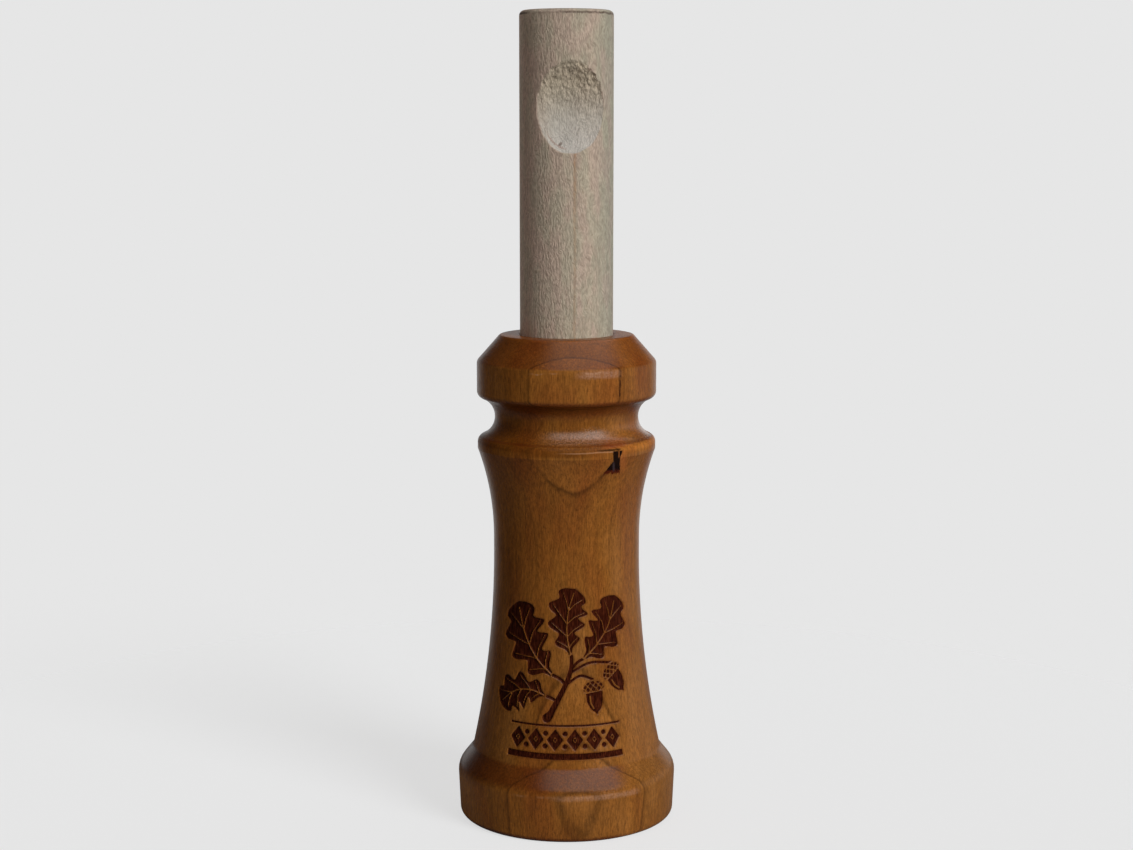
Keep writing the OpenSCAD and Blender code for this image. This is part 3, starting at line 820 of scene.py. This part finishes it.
def acorn(u, v, at, turn, size):
    """An acorn hanging from its cup, the two parted by a thin line left standing."""
    c, s = cos_d(turn), sin_d(turn)
    x = ((u - at[0]) * c + (v - at[1]) * s) / size
    y = (-(u - at[0]) * s + (v - at[1]) * c) / size
    nut = polygon_distance(x, y, curve([(-0.44, 0.0), (-0.43, -0.42), (-0.27, -0.83), (-0.07, -1.02), (0, -1.16),
                                        (0.07, -1.02), (0.27, -0.83), (0.43, -0.42), (0.44, 0.0)], 8))
    shine = stroke_distance(x, y, curve([(-0.24, -0.18), (-0.25, -0.5), (-0.14, -0.8)], 6), np.full(13, 0.045))
    cup = polygon_distance(x, y, curve([(-0.56, 0.10), (-0.53, 0.32), (-0.3, 0.52), (0, 0.58), (0.3, 0.52),
                                        (0.53, 0.32), (0.56, 0.10), (0.3, 0.055), (-0.3, 0.055), (-0.56, 0.10)], 8))
    checks = np.full(u.shape, 1e9)
    for k in np.arange(-1.2, 1.3, 0.3):
        for lean in (-1, 1):
            checks = np.minimum(checks, np.abs((x - lean * y * 0.9 - k)) / 1.35 - 0.028)
    whole = np.minimum(nut, cup)
    cup = np.maximum(cup, -checks)
    return np.minimum(np.maximum(nut, -shine), cup) * size, whole * size


def engraving(u, v):
    """Signed distance to the whole design at arc length u and height v."""
    twig = stroke_distance(u, v, curve([(-2.6, 20.9), (-1.2, 23.6), (0.3, 26.6), (1.1, 29.4), (1.0, 31.6)], 16),
                           np.linspace(0.52, 0.26, 65))
    art = np.minimum(twig, stroke_distance(u, v, curve([(-2.95, 20.55), (-2.3, 21.3)], 2), [0.78, 0.66, 0.5]))
    for stem, width in (
        ([(0.1, 26.2), (-1.0, 27.2), (-2.6, 27.9)], 0.24),
        ([(-1.4, 23.4), (-2.6, 24.0), (-3.6, 24.2)], 0.22),
        ([(1.1, 28.8), (2.2, 29.9), (3.6, 30.6)], 0.24),
        ([(0.2, 26.2), (2.6, 27.6), (4.9, 26.9)], 0.2),
        ([(0.9, 28.2), (4.4, 29.7), (8.6, 29.4)], 0.2),
    ):
        run = curve(stem, 10)
        art = np.minimum(art, stroke_distance(u, v, run, np.full(len(run), width)))

    # Each leaf and acorn lies over what is below it, parted by a thin line left standing
    over = [oak_leaf(u, v, rib) for rib in (
        [(-3.4, 24.2), (-6.2, 25.0), (-9.4, 24.3), (-12.4, 21.9)],
        [(0.9, 31.2), (0.3, 34.8), (0.6, 38.6), (1.9, 42.3)],
        [(-2.4, 27.8), (-5.4, 30.6), (-7.9, 34.6), (-9.6, 39.6)],
        [(3.4, 30.5), (6.0, 32.8), (8.5, 36.0), (10.2, 40.6)],
    )]
    over += [acorn(u, v, (8.9, 27.3), 34, 3.3), acorn(u, v, (5.0, 24.7), 6, 3.3)]
    for shape, whole in over:
        art = np.minimum(np.maximum(art, ENGRAVED_GAP - whole), shape)

    # Lozenges with a bead between each two, over a broad rule
    pitch, count, band_z = 3.1, 6, 16.95
    for i in range(count):
        at = (i - (count - 1) / 2) * pitch
        lozenge = (np.abs(u - at) / 1.3 + np.abs(v - band_z) / 1.8 - 1) * 1.02
        art = np.minimum(art, np.maximum(lozenge, -(lozenge + 0.72)))
        art = np.minimum(art, (np.abs(u - at) / 0.24 + np.abs(v - band_z) / 0.34 - 1) * 0.2)
        if i < count - 1:
            for rise in (-1.05, 1.05):
                art = np.minimum(art, np.hypot(u - at - pitch / 2, v - band_z - rise) - 0.4)
    reach = count * pitch / 2
    for level, half in ((band_z + 2.35, 0.15), (band_z - 2.75, 0.5)):
        art = np.minimum(art, np.maximum(np.abs(v - level) - half, np.abs(u) - reach))
    return art


# Where the design lies on the body, the radius at which its widths are true, and the step of its mesh
ENGRAVED_LOW, ENGRAVED_HIGH, ENGRAVED_HALF_W, ENGRAVED_MIDDLE_A = 13.3, 43.4, 13.4, -1.0
ENGRAVED_R, ENGRAVED_HALF_A, ENGRAVED_STEP = 14.0, 56.0, 0.155
# Depth of a cut and width of its sloping wall; distances beyond UNCUT are not told apart
ENGRAVED_DEPTH, ENGRAVED_WALL, UNCUT = 0.24, 0.14, 2.0
# Points further out than this lie on the body's outside and not in its bores
OUTSIDE_R = 12.0
# Points in a plain ring, and the step in degrees on the plain side of a ring that carries the design
BARREL_RING, BARREL_STEP_A = 132, 3.0


def barrel(finish):
    rows = outline(barrel_corners())
    # Fine rows where the body carries the engraving
    fine_z = np.arange(ENGRAVED_LOW, ENGRAVED_HIGH, ENGRAVED_STEP)
    fine_r = WAIST_R + body_r - np.sqrt(body_r ** 2 - (waist_z - fine_z) ** 2)
    on_body = (rows[:, 0] > OUTSIDE_R) & (rows[:, 1] > ENGRAVED_LOW - 0.2) & (rows[:, 1] < ENGRAVED_HIGH + 0.1)
    rows = with_fine_rows(rows, on_body, np.stack([fine_r, fine_z], 1))
    coarse = even_ring(BARREL_RING)
    fine = front_ring(ENGRAVED_HALF_A, math.degrees(ENGRAVED_STEP / ENGRAVED_R), BARREL_STEP_A)
    rings = [fine if (r > OUTSIDE_R and ENGRAVED_LOW - 0.01 < z < ENGRAVED_HIGH) else coarse for r, z in rows]
    piece, at = turned("barrel_turned", rows, rings)

    radius = np.hypot(at[:, 0], at[:, 1])
    turn = np.arctan2(at[:, 0], -at[:, 1]) - math.radians(ENGRAVED_MIDDLE_A)
    u, v = turn * ENGRAVED_R, at[:, 2]
    near = (v > ENGRAVED_LOW) & (v < ENGRAVED_HIGH) & (np.abs(u) < ENGRAVED_HALF_W) & (radius > OUTSIDE_R)
    cut = np.full(len(at), UNCUT)
    cut[near] = np.minimum(engraving(u[near], v[near]), UNCUT)
    sunk = ENGRAVED_DEPTH * np.clip(0.5 - cut / ENGRAVED_WALL, 0, 1)
    scale = (radius - sunk) / radius
    at = at * np.stack([scale, scale, np.ones(len(at))], 1)
    move_points(piece, at)
    point_values(piece, "cut", cut)

    # How far each place leans from upright: 1 on end grain
    step = np.gradient(rows, axis=0)
    lean = np.abs(step[:, 0]) / np.maximum(1e-6, np.hypot(step[:, 0], step[:, 1]))
    point_values(piece, "slope", np.repeat(lean, [len(r) for r in rings]))
    outward(piece)
    smooth_shaded(piece)
    piece.data.materials.append(finish)
    return piece


# The mouthpiece: a turned dowel whose dish a node tree cuts by rule

def mouthpiece_rows():
    floor_r = socket_r - 2 * RING_CLEAR - (SEAL_CORD - SEAL_SQUEEZE)
    half = SEAL_CORD / 2 + RING_PLAY
    grooves = []
    for level in (seat_z + SEAL_LOW_H, seat_z + SEAL_LOW_H + SEAL_PITCH):
        grooves += [(DOWEL_R, level - half, 0), (floor_r, level - half, 0),
                    (floor_r, level + half, 0), (DOWEL_R, level + half, 0)]
    corners = [
        (SEAT_R + SEAT_LEAD, seat_z, 0),
        (DOWEL_R - TENON_LEAD, seat_z, 0),
        (DOWEL_R, seat_z + TENON_LEAD, 0),
        *grooves,
        (DOWEL_R, dowel_top_z, MOUTH_END_ROUND),
        (AIR_BORE_R, dowel_top_z, BLOW_HOLE_ROUND),
        (AIR_BORE_R, seat_top_z + (SEAT_R - AIR_BORE_R) / tan_d(DRILL_A), 0),
        (SEAT_R, seat_top_z, 0),
        (SEAT_R, seat_z + SEAT_LEAD, 0),
    ]
    return outline(corners)


def dish_tree(finish):
    """Cuts the dish: each point in front of the cutter's crowned wheel moves back on to it."""
    tree = bpy.data.node_groups.new("dish_cut", "GeometryNodeTree")
    face = tree.interface
    face.new_socket("Geometry", in_out="INPUT", socket_type="NodeSocketGeometry")
    sizes = {}
    for name, value in (("Dowel Radius", DOWEL_R), ("Dish Depth", DISH_DEPTH), ("Along Radius", DISH_LONG_R),
                        ("Across Radius", DISH_CROSS_R), ("Middle Height", dish_z), ("Turn", DISH_TURN),
                        ("Torn Depth", 0.34), ("Rim Wander", 0.34)):
        socket = face.new_socket(name, in_out="INPUT", socket_type="NodeSocketFloat")
        sizes[name] = (socket.identifier, value)
    face.new_socket("Geometry", in_out="OUTPUT", socket_type="NodeSocketGeometry")
    g = Graph(tree)
    group = tree.nodes.new("NodeGroupInput")
    given = {s.name: Value(g, s) for s in group.outputs if s.name}
    at = g.add("GeometryNodeInputPosition").stretched(*TO_MM)
    # The dowel is turned back by the cutter's angle, cut from straight in front, and turned again
    angle = given["Turn"] * math.radians(-1.0)
    turned_at = g.add("ShaderNodeVectorRotate", {"Vector": at, "Angle": angle}, rotation_type="Z_AXIS")
    x, y, z = turned_at.parts()
    wheel_y = given["Dish Depth"] - given["Dowel Radius"] - given["Along Radius"]
    crown = given["Along Radius"] - given["Across Radius"] + (given["Across Radius"] ** 2 - x ** 2) ** 0.5
    drop = z - given["Middle Height"]
    reach = crown ** 2 - drop ** 2
    floor = wheel_y + reach.at_least(0.0) ** 0.5
    # Grain torn out towards the top, and a rim that wanders
    lumps = g.noise(turned_at.stretched(1.15, 0.4, 0.8), detail=2.0, rough=0.6) - 0.5
    chatter = g.noise(turned_at.stretched(2.3, 1.0, 1.5), detail=1.5, rough=0.6) - 0.5
    tooth = g.noise(turned_at.stretched(5.0, 5.0, 2.2), detail=1.0, rough=0.6) - 0.5
    torn = drop.smooth(-3.5, 5.0)
    wander = g.noise(turned_at.stretched(0.30, 0.30, 0.30), detail=2.0, rough=0.6) - 0.5
    floor = floor + wander * given["Rim Wander"] * 2.2
    floor = floor + (lumps * 1.0 + chatter * 1.5) * given["Torn Depth"] * (0.12 + torn * 0.85)
    floor = floor + tooth * given["Torn Depth"] * 0.28
    # Splinters with sharp edges along the upper rim
    rip = g.noise(turned_at.stretched(0.62, 0.4, 0.55), detail=1.0, rough=0.6).smooth(0.42, 0.58) - 0.5
    floor = floor + rip * given["Torn Depth"] * 0.85 * (floor - y).smooth(1.3, 0.5) * drop.smooth(0.5, 4.0)
    # Only the dowel's skin moves, on its front
    wall = (x ** 2 + y ** 2) ** 0.5 - given["Dowel Radius"]
    front = y.below(-1.0) * wall.op("ABSOLUTE").below(0.3) * reach.above(0.0)
    sunk = (floor - y).at_least(0.0) * front
    moved_at = g.add("ShaderNodeCombineXYZ", [x, y + sunk, z])
    back = g.add("ShaderNodeVectorRotate", {"Vector": moved_at, "Angle": -angle}, rotation_type="Z_AXIS")
    kept = g.add("GeometryNodeStoreNamedAttribute",
                 {"Geometry": given["Geometry"], "Name": "dish", "Value": sunk}, data_type="FLOAT", domain="POINT")
    moved = g.add("GeometryNodeSetPosition", {"Geometry": kept, "Position": back.stretched(MM, MM, MM)})
    whole = g.add("GeometryNodeRealizeInstances", {"Geometry": moved})
    dressed = g.add("GeometryNodeSetMaterial", {"Geometry": whole, "Material": finish})
    out = tree.nodes.new("NodeGroupOutput")
    g.put(out.inputs["Geometry"], dressed)
    return tree, sizes


def applied(piece, tree, sizes, name):
    """Runs a node tree on a piece and keeps the result as a plain mesh."""
    modifier = piece.modifiers.new("cut", "NODES")
    modifier.node_group = tree
    for identifier, value in sizes.values():
        modifier[identifier] = value
    evaluated = piece.evaluated_get(bpy.context.evaluated_depsgraph_get())
    mesh = bpy.data.meshes.new_from_object(evaluated)
    mesh.name = name
    piece.modifiers.remove(modifier)
    old = piece.data
    piece.data = mesh
    bpy.data.meshes.remove(old)
    return piece


# How far the fine mesh reaches from the dish's middle, up and down in mm and sideways in degrees
DISH_REACH, DISH_HALF_A, DISH_STEP = 9.2, 62.0, 0.13
DOWEL_RING, DOWEL_STEP_A = 96, 3.75


def mouthpiece(finish):
    rows = mouthpiece_rows()
    low, high = dish_z - DISH_REACH, dish_z + DISH_REACH
    fine_z = np.arange(low, high, DISH_STEP)
    skin_r = DOWEL_R - 0.05
    zone = (rows[:, 0] > skin_r) & (rows[:, 1] > low - 0.3) & (rows[:, 1] < high + 0.3)
    rows = with_fine_rows(rows, zone, np.stack([np.full(len(fine_z), DOWEL_R), fine_z], 1))
    coarse = even_ring(DOWEL_RING)
    fine = front_ring(DISH_HALF_A, math.degrees(DISH_STEP / DOWEL_R), DOWEL_STEP_A)
    rings = [fine if (r > skin_r and low - 0.01 < z < high) else coarse for r, z in rows]
    piece, _ = turned("mouthpiece_dowel", rows, rings)
    outward(piece)
    tree, sizes = dish_tree(finish)
    applied(piece, tree, sizes, "mouthpiece_dowel")
    smooth_shaded(piece, angle=40)
    return piece


# The reed: a film divided along its length into rows, rounded at its tip

REED_CORNER_R, REED_CLEAR, REED_NOSE_Z = 2.2, 0.01, seat_z + 9.0
REED_ROWS, REED_TIP_ROWS = 60, 12


def reed_strip(finish):
    low, high = (np.array(corner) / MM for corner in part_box("reed"))
    half, top, corner_z = high[0], high[2], high[2] - REED_CORNER_R
    near, far = low[1] + REED_CLEAR, high[1] - REED_CLEAR
    tip = np.sin(np.linspace(0, math.pi / 2, REED_TIP_ROWS + 1))[1:]
    levels = np.concatenate([np.linspace(low[2], corner_z, REED_ROWS), corner_z + REED_CORNER_R * tip])
    into = np.maximum(levels - corner_z, 0.0)
    halves = half - REED_CORNER_R + np.sqrt(np.maximum(REED_CORNER_R ** 2 - into ** 2, 0.0))
    points, faces = [], []
    for level, reach in zip(levels, halves):
        points += [(-reach, near, level), (reach, near, level), (reach, far, level), (-reach, far, level)]
    for row in range(len(levels) - 1):
        for side in range(4):
            a, b = row * 4 + side, row * 4 + (side + 1) % 4
            faces.append((a, b, b + 4, a + 4))
    last = len(points) - 4
    faces += [(3, 2, 1, 0), (last, last + 1, last + 2, last + 3)]
    piece = new_piece("reed_film", points, faces)
    outward(piece)
    smooth_shaded(piece)
    piece.data.materials.append(finish)
    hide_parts("reed")
    REED_NOSE_Z * MM
    top * MM
    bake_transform(piece)


# Finishes and pieces

cherry_wood = cherry()
maple_wood = maple()

barrel_piece = barrel(cherry_wood)
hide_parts("barrel")
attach(barrel_piece, "barrel")

dowel_piece = mouthpiece(maple_wood)
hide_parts("mouthpiece")
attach(dowel_piece, "mouthpiece")

for finish, nodes in (
    (rubber(), ("lower_seal_ring", "upper_seal_ring", "reed_unit_ring")),
    (toneboard_plastic(), ("toneboard",)),
    (cork(), ("reed_wedge",)),
):
    for node in nodes:
        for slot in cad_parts[node].material_slots:
            slot.material = finish
reed_strip(reed_film())


# Floor, lights and camera

BACKDROP = srgb(230, 230, 230)
# The floor is whole within the first of the two distances and gone beyond the second
FLOOR_R, FLOOR_FADE, FLOOR_TONE, FLOOR_GLOW = 340.0, (60.0, 240.0), 0.27, 0.645
# Light from all round, from behind at half height, and from the left
WORLD_ROUND, WORLD_BEHIND, WORLD_LEFT, WORLD_TINT = 0.09, 0.55, 0.16, (1.0, 0.91, 0.83)
# Reach of the lamp on a ceiling one unit above the call, seen in the lacquer only
CEILING_LAMP_X, CEILING_LAMP_HALF, CEILING_LAMP_Y, CEILING_LAMP_SOFT = 0.25, 0.50, (-1.55, 0.8), 0.14
CEILING_LAMP_LIGHT, CEILING_DARK = (1.9, 2.25, 2.4), (0.006, 0.006, 0.006)
# The camera as solved from the outline in the photograph
FOCAL_PX, PICTURE_PX, SENSOR_W = 2121, 1133, 36.0
CAMERA_AT, CAMERA_PITCH = (0, -0.3608, 0.1197), 8.1


def floor():
    """A round pale floor that fades into the backdrop and keeps the call's shadow."""
    ring = [(FLOOR_R * math.cos(a), FLOOR_R * math.sin(a), 0) for a in even_ring(96)]
    piece = new_piece("floor", ring, [tuple(range(len(ring)))])
    made, g, shader = material("pale_floor", Roughness=0.9, Specular_IOR_Level=0.1)
    at = g.place()
    x, y, _ = at.parts()
    away = (x ** 2 + y ** 2) ** 0.5
    g.put(shader.inputs["Base Color"], (FLOOR_TONE,) * 3)
    ray = g.add("ShaderNodeLightPath", every=True)
    shown = ray["Is Camera Ray"].at_least(ray["Is Transmission Ray"])
    g.put(shader.inputs["Emission Color"], g.mix(shown, (0.0, 0.0, 0.0), (1.0, 1.0, 1.0)))
    g.put(shader.inputs["Emission Strength"], FLOOR_GLOW)
    g.put(shader.inputs["Alpha"], away.smooth(FLOOR_FADE[1], FLOOR_FADE[0]))
    piece.data.materials.append(made)


def sun(name, azimuth, elevation, strength, angle, colour):
    """A soft distant lamp that the lacquer doesn't mirror; azimuth 0 is behind the camera and grows to the right."""
    data = bpy.data.lights.new(name, "SUN")
    data.energy = strength
    data.angle = math.radians(angle)
    data.color = colour
    lamp = bpy.data.objects.new(name, data)
    lamp.rotation_euler = (math.radians(90 - elevation), 0, math.radians(azimuth))
    lamp.visible_glossy = False
    bpy.context.scene.collection.objects.link(lamp)


def backdrop():
    """Flat pale backdrop to the camera and in reflections; light from behind and above."""
    world = bpy.data.worlds.new("backdrop")
    bpy.context.scene.world = world
    world.use_nodes = True
    tree = world.node_tree
    tree.nodes.clear()
    g = Graph(tree)
    way = g.add("ShaderNodeTexCoord", output="Generated")
    x, y, z = way.parts()
    light = WORLD_ROUND + y.smooth(0.25, 0.9) * z.smooth(0.7, 0.25) * WORLD_BEHIND
    light = light + x.smooth(-0.3, -1.0) * WORLD_LEFT
    tint = g.times(WORLD_TINT, g.grey(light))
    ray = g.add("ShaderNodeLightPath", every=True)
    glossy = ray["Is Glossy Ray"]
    # In reflections: dark in front, a lamp on the ceiling that widens to the right as it comes nearer, and the
    # backdrop behind and to the right
    high = z.at_least(0.05)
    across, along = x / high, y / high
    (near, far), soft = CEILING_LAMP_Y, CEILING_LAMP_SOFT
    nearer = (-along - 0.1).at_least(0.0)
    centre, half = nearer * 0.45 + CEILING_LAMP_X, nearer * 0.75 + CEILING_LAMP_HALF
    lamp = ((across - centre).op("ABSOLUTE") - half).smooth(soft, -soft)
    lamp = lamp * along.band(near - soft, near + soft, far - soft, far + soft)
    lamp = lamp * (0.75 + across.smooth(-0.2, 0.6) * 0.5)
    dim = g.mix(lamp, CEILING_DARK, CEILING_LAMP_LIGHT)
    tint = g.mix(glossy, tint, dim)
    behind = y.smooth(0.62, 1.0) * z.smooth(0.3, 0.1)
    beside = x.smooth(0.6, 0.95) * y.smooth(-0.5, 0.1) * z.smooth(0.4, 0.15) * 0.7
    shown = ray["Is Camera Ray"].at_least(ray["Is Transmission Ray"])
    shown = shown.at_least(glossy * behind.at_least(beside))
    colour = g.mix(shown, tint, BACKDROP)
    shader = g.add("ShaderNodeBackground", {"Color": colour, "Strength": 1.0})
    out = tree.nodes.new("ShaderNodeOutputWorld")
    g.put(out.inputs["Surface"], shader)


floor()
backdrop()
sun("key", azimuth=42, elevation=20, strength=2.98, angle=30, colour=(0.975, 1.0, 1.02))
sun("overhead", azimuth=40, elevation=83, strength=0.14, angle=44, colour=(0.78, 0.9, 1.0))

camera_data = bpy.data.cameras.new("camera")
camera_data.sensor_width = SENSOR_W
camera_data.lens = FOCAL_PX / PICTURE_PX * SENSOR_W
camera = bpy.data.objects.new("camera", camera_data)
camera.location = CAMERA_AT
camera.rotation_euler = (math.radians(90 - CAMERA_PITCH), 0, 0)
bpy.context.scene.collection.objects.link(camera)
bpy.context.scene.camera = camera
bpy.context.scene.view_settings.view_transform = "Standard"
